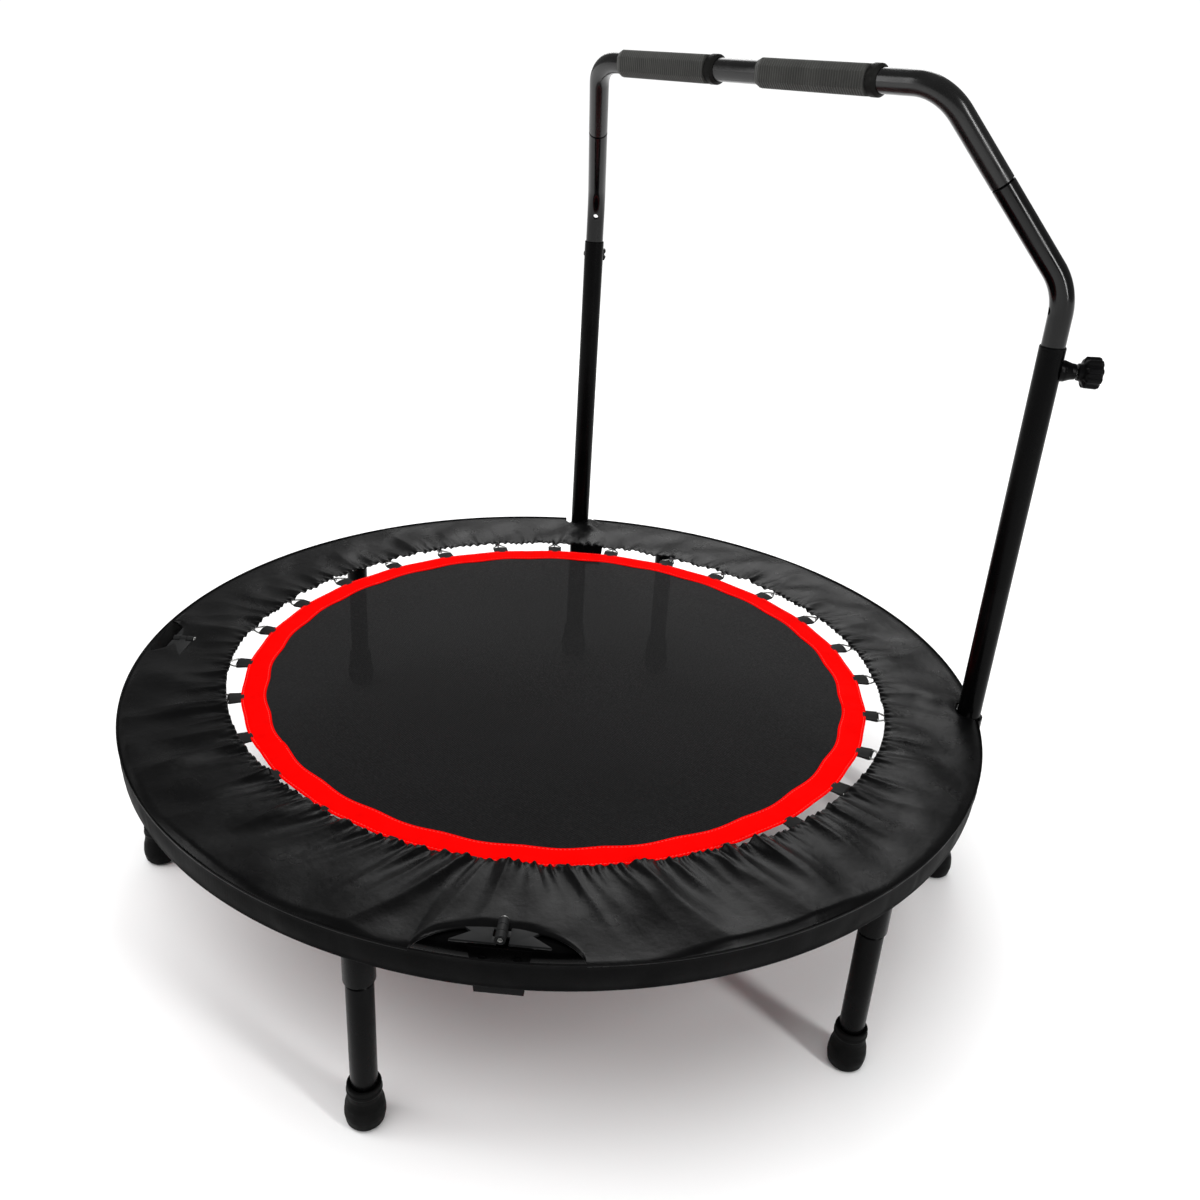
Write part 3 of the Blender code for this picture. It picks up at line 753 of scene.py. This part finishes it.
def side_tube(where):
    """The upright: a smooth bent tube with height holes and a swaged step."""
    low, corner = slant_points(where)
    step = low.lerp(corner, STEP_SHARE)
    run = (corner - low).normalized()
    made = bmesh.new()
    path = rounded([(low.x, low.y, INSERT_Z), (low.x, low.y, 0.60), low, step - run * 0.001], 0.07, 20)
    hollow(made, path, BAR_TUBE_R, BAR_TUBE_R - TUBE_WALL)
    thing = piece(f"upright_tube_{where}", made, GLOSS_PAINT, node=f"side_tube_{where}")
    pierced(thing, [Vector((low.x, low.y, z)) for z in HOLE_Z], outward(where))
    neck = bmesh.new()
    shoulder = [(0, -0.012), (BAR_TUBE_R - 0.0015, -0.012), (BAR_TUBE_R - 0.0001, -0.0015),
                (BAR_TUBE_R - 0.0003, -0.0004), (BAR_TUBE_R - 0.0022, 0.0006), (BAR_TUBE_R - 0.0022, 0.003),
                (0, 0.003)]
    lathe(neck, shoulder, aimed(step, run), 40, 0.0004)
    piece(f"swaged_neck_{where}", neck, PAINT, body="support_bar")


def top_bar():
    points = []
    for where in ("left", "right"):
        low, corner = slant_points(where)
        run = (corner - low).normalized()
        step = low.lerp(corner, STEP_SHARE) + run * 0.0014
        points += [step, corner] if where == "left" else [corner, step]
    made = bmesh.new()
    path = rounded(points, 0.055, 24)
    hollow(made, path, BAR_TUBE_R, BAR_TUBE_R - TUBE_WALL)
    piece("bar_tube", made, BAR_PAINT, node="top_bar")


def grip(where):
    """A foam grip with a flat top and a ribbed, faceted body, and its end ring."""
    low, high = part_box(f"foam_grip_{where}")
    start, end = low.x, high.x
    half = (high.z - low.z) / 2
    bore = BAR_TUBE_R + 0.0002
    chamfer = 0.008
    # Corners of the hand shape from the top flat round to the back, in the bar's own Y and Z.
    corners = [(-0.72, 0.86), (0.72, 0.86), (0.98, 0.42), (0.98, -0.50), (0.60, -0.90), (-0.60, -0.90),
               (-0.98, -0.50), (-0.98, 0.42)]
    outline = rounded([(*c, 0) for c in (corners[-1], *corners, corners[0])], 0.22, 5)[1:-1]
    ribs = 44
    steps = ribs * 5
    rings = []
    for k in range(steps + 1):
        share = k / steps
        x = start + (end - start) * share
        taper = min(1.0, 0.80 + 0.20 * (x - start) / chamfer) * (1.0 if k < steps else 0.985)
        groove = 0.5 - 0.5 * math.cos(math.tau * share * ribs)
        ring = []
        for p in outline:
            ribbed = min(1.0, max(0.0, (0.80 - p.y) * 6))
            scale = half * taper * (1 - 0.030 * groove * ribbed)
            ring.append(Vector((x, BAR_Y + p.x * scale, BAR_Z + p.y * scale)))
        rings.append(ring)
    mouth = [[Vector((x, BAR_Y + p.x / p.length * bore, BAR_Z + p.y / p.length * bore)) for p in outline]
             for x in (end, start)]
    made = bmesh.new()
    skin(made, rings + mouth, closed_loop=True)
    thing = piece(f"grip_sleeve_{where}", made, FOAM, node=f"foam_grip_{where}", sharp=50)
    low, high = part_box(f"grip_ring_{where}")
    ring_r = (high.z - low.z) / 2 * 0.87
    width = high.x - low.x
    profile = [(bore, 0), (ring_r - 0.002, 0), (ring_r, 0.002), (ring_r, width - 0.003),
               (ring_r - 0.003, width), (bore, width)]
    cap = bmesh.new()
    sleeve(cap, profile, aimed(Vector((low.x, BAR_Y, BAR_Z)), (1, 0, 0)), 48, 0.0007)
    piece(f"grip_cap_{where}", cap, CAP, node=f"grip_ring_{where}")


# ---- mat, border and springs ----


def pull(angles):
    """How far the springs pull the border out, from 0 between two springs to 1 at a spring."""
    return (0.5 + 0.5 * np.cos(angles * SPRING_COUNT)) ** 0.8


def tape_edges(tug):
    """Inner and outer radius of the border tape, from how far the springs pull it."""
    return BORDER_R[0] - 0.0005 + 0.0026 * tug, BORDER_R[1] - 0.0015 + 0.0014 * tug


def jumping_mat():
    """The mat, drawn tight, with a shallow dish and faint puckers at the springs."""
    angles = np.linspace(0, math.tau, 336, endpoint=False)[:, None]
    shares = np.linspace(0.0, 1.0, 44)[None, 1:]
    radii = (BORDER_R[0] + 0.006) * shares
    dish = -0.0022 * (1 - shares**2)
    pucker = 0.0004 * np.cos(angles * SPRING_COUNT) * np.clip((shares - 0.8) / 0.2, 0, 1) ** 2
    points = around(radii, angles, MAT_Z + 0.0012 + dish + pucker)
    mesh = grid_mesh(points)
    maker = bmesh.new()
    maker.from_mesh(mesh)
    across = points.shape[1]
    centre = maker.verts.new((0, 0, float(points[0, 0, 2])))
    maker.verts.ensure_lookup_table()
    for k in range(len(points)):
        after = (k + 1) % len(points)
        maker.faces.new((centre, maker.verts[k * across], maker.verts[after * across]))
    thing = piece("jumping_mat", maker, MAT, body="bend", node=("mat_rear", "mat_front"), sharp=80)
    across_fold(thing)


def border_tape():
    """The red tape round the mat: turned edges, scalloped where the springs pull, two rows of stitches."""
    rng = np.random.default_rng(7)
    angles = np.linspace(0, math.tau, SPRING_COUNT * 30, endpoint=False)[:, None]
    inner, outer = tape_edges(pull(angles))
    # Shares of the width and heights of the section, from the under side of the inner edge over the top.
    section = [(0.02, 0.0004), (0.0, 0.0011), (0.015, 0.0019), (0.06, 0.0021), (0.09, 0.0016), (0.12, 0.0020),
               (0.25, 0.0022), (0.50, 0.0023), (0.75, 0.0022), (0.88, 0.0020), (0.91, 0.0016), (0.94, 0.0021),
               (0.985, 0.0019), (1.0, 0.0011), (0.98, 0.0004)]
    share, height = np.array(section).T[:, None, :]
    creases = np.zeros_like(angles + share)
    for _ in range(150):
        at, width = rng.uniform(0, math.tau), rng.uniform(0.004, 0.012)
        crease = rng.uniform(-0.0003, 0.0003) * bell(wrapped(angles - at) / width)
        creases += crease * np.exp(-((share - 0.5) / 0.5) ** 4)
    for seam in (39.9, 262.0):
        off = turned_from(angles, seam)
        creases += 0.0006 * (np.tanh((off + 0.25) * 9) + 1) / 2 * np.exp(-((np.maximum(off, 0) / 1.6) ** 6))
    base = MAT_Z + 0.0004
    points = around(inner + (outer - inner) * share, angles, base + height + creases)
    thing = show("border_tape", grid_mesh(points, section_closed=True), RED, body="bend",
                 node=("border_rear", "border_front"), sharp=60)
    across_fold(thing)
    width = BORDER_R[1] - BORDER_R[0]
    stitches = bmesh.new()
    pitch = 0.0042
    for share_out in (0.09, 0.91):
        mean = BORDER_R[0] + width * share_out
        count = int(math.tau * mean / pitch)
        for k in range(count):
            turn = math.tau * k / count
            low, high = tape_edges(float(pull(np.array(turn))))
            radius = low + (high - low) * share_out
            half = 0.0015 / radius
            ends = [turn - half, turn, turn + half]
            lift = [0.0014, 0.0020, 0.0014]
            path = [polar(radius, math.degrees(t), base + h) for t, h in zip(ends, lift)]
            sweep(stitches, path, [0.0003, 0.00045, 0.0003], 5)
    thing = piece("border_stitches", stitches, RED_THREAD, body="bend", sharp=80)
    across_fold(thing)


def spring_angles(first):
    pitch = 360 / SPRING_COUNT
    return [first + pitch * (k + 0.5) for k in range(SPRING_COUNT // 2)]


def springs(where, first):
    """Webbing tabs, wire triangles and coil springs of one half."""
    body = f"{where}_frame"
    rng = np.random.default_rng(400 + first)
    tabs, triangles, coils = bmesh.new(), bmesh.new(), bmesh.new()
    start, tip = BORDER_R[1] - 0.004, 0.3915
    for turn in spring_angles(first):
        turn += rng.uniform(-0.25, 0.25)
        place = on_ring(turn)
        half = 0.0100 + rng.uniform(-0.0006, 0.0006)
        lift = MAT_Z + 0.0004
        section = [(start, 0.0), (start + 0.006, 0.0002), (tip - 0.003, -0.0006), (tip, 0.0004),
                   (tip, 0.0018), (tip - 0.003, 0.0028), (start + 0.006, 0.0021), (start, 0.0019)]
        path = rounded([(x, 0, z) for x, z in section], 0.001, 2)
        rings = []
        for k in range(9):
            y = half * (k / 4 - 1)
            sag = 0.0005 * math.cos(math.pi * y / half)
            rings.append([place @ Vector((p.x, y, lift + p.z + sag)) for p in path])
        skin(tabs, rings)
        apex = 0.4035
        z = lift + 0.0011
        corners = [(tip - 0.0022, 0, z), (tip - 0.0022, half + 0.0012, z), (apex, 0.0016, z - 0.001),
                   (apex, -0.0016, z - 0.001), (tip - 0.0022, -half - 0.0012, z), (tip - 0.0022, 0, z)]
        loop = [place @ p for p in rounded(corners, 0.0022, 5)[:-1]]
        sweep(triangles, loop, 0.0011, 10, closed=True)
        coil_from, coil_to, coil_r, turns = 0.4090, 0.4520, 0.0030, 17
        helix = []
        for k in range(turns * 10 + 1):
            spin = math.tau * k / 10
            x = coil_from + (coil_to - coil_from) * k / (turns * 10)
            helix.append((x, coil_r * math.cos(spin), SPRING_Z + coil_r * math.sin(spin)))
        hook_in = [(0.4012, 0.0, z + 0.0006), (0.4008, 0.0, z - 0.0026), (0.4035, 0.0, z - 0.0040),
                   (0.4065, 0.0010, SPRING_Z - 0.0006)]
        hook_out = [(0.4550, 0.0010, SPRING_Z), (0.4585, 0.0, SPRING_Z + 0.0012),
                    (0.4615, 0.0, SPRING_Z - 0.0012)]
        sweep(coils, [place @ Vector(p) for p in hook_in + helix + hook_out], 0.0008, 7)
    piece(f"webbing_tabs_{where}", tabs, WEBBING, body=body, sharp=60)
    piece(f"wire_triangles_{where}", triangles, ZINC, body=body, sharp=60)
    piece(f"coil_springs_{where}", coils, SPRING, node=f"spring_row_{where}", sharp=60)


# ---- skirt ----

SEAM_R = SKIRT_R - 0.0008  # the seam between the skirt's top and its side band
# Families of folds: how many, how far they reach as a share of the width, and their height.
FOLDS = ((220, 0.13, 0.0021), (104, 0.62, 0.0046), (52, 1.25, 0.0050))
# Openings in the skirt's top: middle angle, half angle, and how far in the opening's edge comes.
OPENINGS = ((315, 8.6, 0.4665), (225, 4.6, 0.4800), *((turn, 2.7, 0.4862) for turn in POST_ANGLES.values()))


def skirt_inner(angles):
    """Radius of the elastic edge: the front of the skirt has slipped inward over the border."""
    slipped = np.clip(np.cos(angles - math.radians(FRONT)), 0, 1) ** 1.5
    wander = 0.0010 * np.sin(5 * angles + 0.7) + 0.0008 * np.sin(11 * angles + 2.1)
    return 0.3985 - 0.0215 * slipped + wander


def skirt_outer(angles):
    """Radius of the top's outer edge: the seam, or the arched hem of an opening."""
    outer = np.full_like(angles, SEAM_R)
    for centre, half, depth in OPENINGS:
        off = np.abs(turned_from(angles, centre)) / half
        arch = SEAM_R - (SEAM_R - depth) * np.sqrt(np.clip(1 - off**2.2, 0, 1))
        outer = np.minimum(outer, arch)
    return outer


def gathers(angles, shares):
    """Height of the folds that fan out from the elastic edge. At the front they lean away from the hinge."""
    rng = np.random.default_rng(23)
    height = np.zeros((len(angles), len(shares)))
    for count, reach_mean, tall in FOLDS:
        for k in range(count):
            at = math.tau * (k + rng.uniform(-0.38, 0.38)) / count
            front = max(0.0, math.cos(at - math.radians(FRONT)))
            side = math.tanh((at - math.radians(FRONT + 5)) / 0.15)
            reach = reach_mean * (0.5 + rng.exponential(0.5)) * (0.8 + 0.8 * front)
            lean = rng.normal(0, 0.02) + 0.17 * side * front**6
            width = 0.30 * math.tau / count * (1 + (1.0 + rng.uniform(0, 2.0)) * shares)
            size = tall * rng.uniform(0.35, 1.15) * (0.80 + 0.55 * front)
            path = lean * shares + 0.010 * np.sin(3 * shares + rng.uniform(0, 6))
            off = np.abs(wrapped(angles[:, None] - at - path[None, :])) / width[None, :]
            ridge = np.exp(-(off**1.45)) - 0.35 * bell(off / 1.9)
            height += size * ridge * bell(shares / reach)[None, :]
    # The cloth lies on the tube and the border, so the hollows between the folds stay shallow.
    return np.where(height > 0, height, 0.0010 * (np.exp(np.minimum(height, 0) / 0.0010) - 1))


def skirt_top():
    """The gathered top of the skirt."""
    angles = np.linspace(0, math.tau, 2240, endpoint=False)
    shares = np.concatenate([np.linspace(0, 0.12, 9)[:-1], np.linspace(0.12, 1.0, 40)])
    inner, outer = skirt_inner(angles)[:, None], skirt_outer(angles)[:, None]
    radii = inner + (outer - inner) * shares[None, :]
    out = (radii - inner) / (SEAM_R - inner)
    height = gathers(angles, shares)
    calm = ease((outer - radii) / 0.009)
    height = height * calm
    base = SKIRT_TOP - 0.0006 * (1 - out)
    ruffle = 0.0011 * np.sin(angles * 260 + 3 * np.sin(angles * 17))[:, None]
    ruffle = ruffle * bell(shares / 0.05)[None, :]
    puckers = soft_puckers(angles, out) * ease((SEAM_R - radii) / 0.006)
    over_hinge = hinge_lift(angles[:, None], radii)
    hem = 0.0009 * bell((outer - radii - 0.0022) / 0.0016) * (SEAM_R - outer > 0.0008)
    fall = -0.0012 * (1 - ease((outer - radii) / 0.004)) * np.ones_like(radii)
    z = base + height + ruffle + puckers + over_hinge + hem + fall
    points = around(radii, angles[:, None], z)
    under_in = around(radii[:, :1] + 0.0022, angles[:, None], z[:, :1] - 0.0016)
    roll_in = around(radii[:, :1] - 0.0005, angles[:, None], z[:, :1] - 0.0009)
    roll_out = around(outer - 0.0001, angles[:, None], z[:, -1:] - 0.0009)
    under_out = around(outer - 0.0035, angles[:, None], z[:, -1:] - 0.0013)
    mesh = grid_mesh(np.concatenate([under_in, roll_in, points, roll_out, under_out], axis=1))
    thing = show("skirt_top", mesh, SKIRT, body="bend", node=("skirt_rear", "skirt_front"), sharp=80)
    across_fold(thing)


def soft_puckers(angles, out):
    """Broad, shallow unevenness of cloth laid over the tube and the springs."""
    height = 0
    for count, lean, size in ((13, 0.9, 0.0011), (29, -0.5, 0.0007), (47, 1.3, 0.00045)):
        wave = np.sin(angles[:, None] * count + lean * 6 * out + count)
        height = height + size * wave * np.sin(math.pi * out)
    return height


def hinge_lift(angles, radii):
    """Where the cloth rides over the knuckles of the two hinges that it covers."""
    lift = np.zeros_like(angles + radii)
    for hinge in (45, 135):
        away = np.radians(turned_from(angles, hinge)) * RING_R
        along = ease((radii - 0.438) / 0.024) * ease((0.499 - radii) / 0.016)
        tall = PIN_Z[hinge] + 0.0060 - SKIRT_TOP
        lift = np.maximum(lift, tall * bell(away / 0.017) * along)
    return lift


def skirt_band(name, start, end, blend):
    """A stretch of the smooth band that turns down over the ring, with its seam and its bottom hem."""
    rng = np.random.default_rng(int(start) + 400)
    count = int((end - start) * 4)
    angles = np.radians(np.linspace(start, end, count + 1))[:, None]
    top, bottom = SKIRT_TOP + 0.0004, SKIRT_BOTTOM + 0.0004
    # Radius inward from the band's face, and height share, from the seam's under side down to the hem.
    section = [(0.0042, 0.93), (0.0016, 0.975), (0.0006, 1.01), (-0.0002, 1.025), (-0.0004, 1.0),
               (0.0, 0.965), (0.0006, 0.93), (0.0003, 0.80), (0.0, 0.6), (0.0002, 0.4), (0.0006, 0.25),
               (0.0010, 0.16), (0.0012, 0.10), (0.0009, 0.05), (0.0014, 0.0), (0.0026, 0.0), (0.0031, 0.05),
               (0.0030, 0.14)]
    inward, share = np.array(section).T[:, None, :]
    wave = np.zeros_like(angles + share)
    for _ in range(int((end - start) * 0.5)):
        at = math.radians(rng.uniform(start, end))
        width = rng.uniform(0.010, 0.045)
        lean = rng.uniform(-0.03, 0.03)
        off = angles - at - lean * (share - 0.5)
        swell = rng.uniform(-0.0011, 0.0007) * bell(off / width)
        wave += swell * np.sin(math.pi * np.clip(share, 0, 1))
    radii = SKIRT_R - 0.0006 - inward + wave
    heights = bottom + (top - bottom) * share
    mesh = grid_mesh(around(radii, angles, heights), closed=False)
    body = "bend" if blend else ("rear_frame" if -45 < start < 135 else "front_frame")
    thing = show(name, mesh, BAND, body=body, sharp=70)
    if blend:
        across_fold(thing)
    width = (top - bottom) * 1.25


# ---- assembly ----

for where, start in ARC_STARTS.items():
    ring_arc(where, start)
for angle in LEG_ANGLES:
    leg(angle)
    foot(f"bulb_foot_{angle:03d}", polar(LEG_R, angle), LEG_TUBE_R, f"leg_foot_{angle:03d}")
for angle in HINGE_ANGLES:
    hinge_leaf(angle, "a", 1)
    hinge_leaf(angle, "b", -1)
    hinge_pin(angle)
    hinge_saddle(angle, "front_frame" if angle == 225 else "rear_frame")
for where in SIDES:
    lower_post(where)
    foot(f"bulb_foot_{where}", post(where), POST_TUBE_R, f"post_foot_{where}")
    post_bracket(where)
    for number, turn in enumerate(BOLT_TURNS, 1):
        bracket_bolt(where, number, post_angle(where) + SIDES[where] * turn)
    knob(where)
    side_tube(where)
    grip(where)
top_bar()
jumping_mat()
border_tape()
for where, first in HALVES.items():
    springs(where, first)
skirt_top()
skirt_band("skirt_band_rear", POST_ANGLES["right"] + POST_GAP, POST_ANGLES["left"] - POST_GAP, False)
skirt_band("skirt_band_front", POST_ANGLES["left"] + POST_GAP, POST_ANGLES["right"] + 360 - POST_GAP, True)

# ---- stage, lights and camera ----


def floor():
    """A matt white floor, just under the feet."""
    maker = bmesh.new()
    bmesh.ops.create_grid(maker, x_segments=1, y_segments=1, size=60)
    thing = add("floor", mesh_of("floor", maker))
    thing.location.z = -0.0004
    matt = bpy.data.materials.new("floor")
    matt.use_nodes = True
    shader = matt.node_tree.nodes["Principled BSDF"]
    shader.inputs["Base Color"].default_value = (0.96, 0.96, 0.96, 1)
    shader.inputs["Roughness"].default_value = 0.9
    shader.inputs["Specular IOR Level"].default_value = 0.0
    thing.data.materials.append(matt)


def area_light(name, place, target, size, power):
    light = bpy.data.lights.new(name, "AREA")
    light.shape = "RECTANGLE"
    light.size, light.size_y = size
    light.energy = power
    add(name, light).matrix_world = aimed(Vector(place), Vector(place) - Vector(target))


def sun_light():
    """An even, very soft light from above, which keeps the whole floor white."""
    light = bpy.data.lights.new("overhead", "SUN")
    light.energy = 2.8
    light.angle = math.radians(70)
    thing = add("overhead", light)
    thing.rotation_euler = (math.radians(12), math.radians(-10), 0)
    thing.visible_glossy = False


def surroundings():
    """A white backdrop for the eye, and a softer grey light for the object."""
    world = bpy.data.worlds.new("studio")
    bpy.context.scene.world = world
    world.use_nodes = True
    tree = world.node_tree
    back = tree.nodes["Background"]
    seen = tree.nodes.new("ShaderNodeBackground")
    for shader, strength in ((back, 0.22), (seen, 1.05)):
        shader.inputs["Color"].default_value = (1, 1, 1, 1)
        shader.inputs["Strength"].default_value = strength
    path = tree.nodes.new("ShaderNodeLightPath")
    mix = tree.nodes.new("ShaderNodeMixShader")
    tree.links.new(path.outputs["Is Camera Ray"], mix.inputs[0])
    tree.links.new(back.outputs[0], mix.inputs[1])
    tree.links.new(seen.outputs[0], mix.inputs[2])
    tree.links.new(mix.outputs[0], tree.nodes["World Output"].inputs[0])


def camera():
    view = bpy.data.cameras.new("camera")
    view.lens = 33.92
    view.sensor_width = 36
    thing = add("camera", view)
    azimuth, elevation, roll = (math.radians(a) for a in (47.43, 25.61, 3.60))
    turned = Matrix.Rotation(azimuth, 4, "Z") @ Matrix.Rotation(math.pi / 2 - elevation, 4, "X")
    thing.matrix_world = Matrix.Translation((0.934, -0.795, 0.929)) @ turned @ Matrix.Rotation(roll, 4, "Z")
    bpy.context.scene.camera = thing


floor()
surroundings()
sun_light()
area_light("back_left", (-1.9, 2.1, 2.3), (0, 0, 0.2), (2.2, 1.6), 36)
area_light("front_left", (-1.8, -2.4, 1.6), (0, 0, 0.4), (0.8, 2.2), 18)
area_light("right_strip", (2.4, 0.1, 1.5), (0.35, 0.3, 0.7), (0.25, 1.8), 28)
camera()
bpy.context.scene.view_settings.view_transform = "Standard"
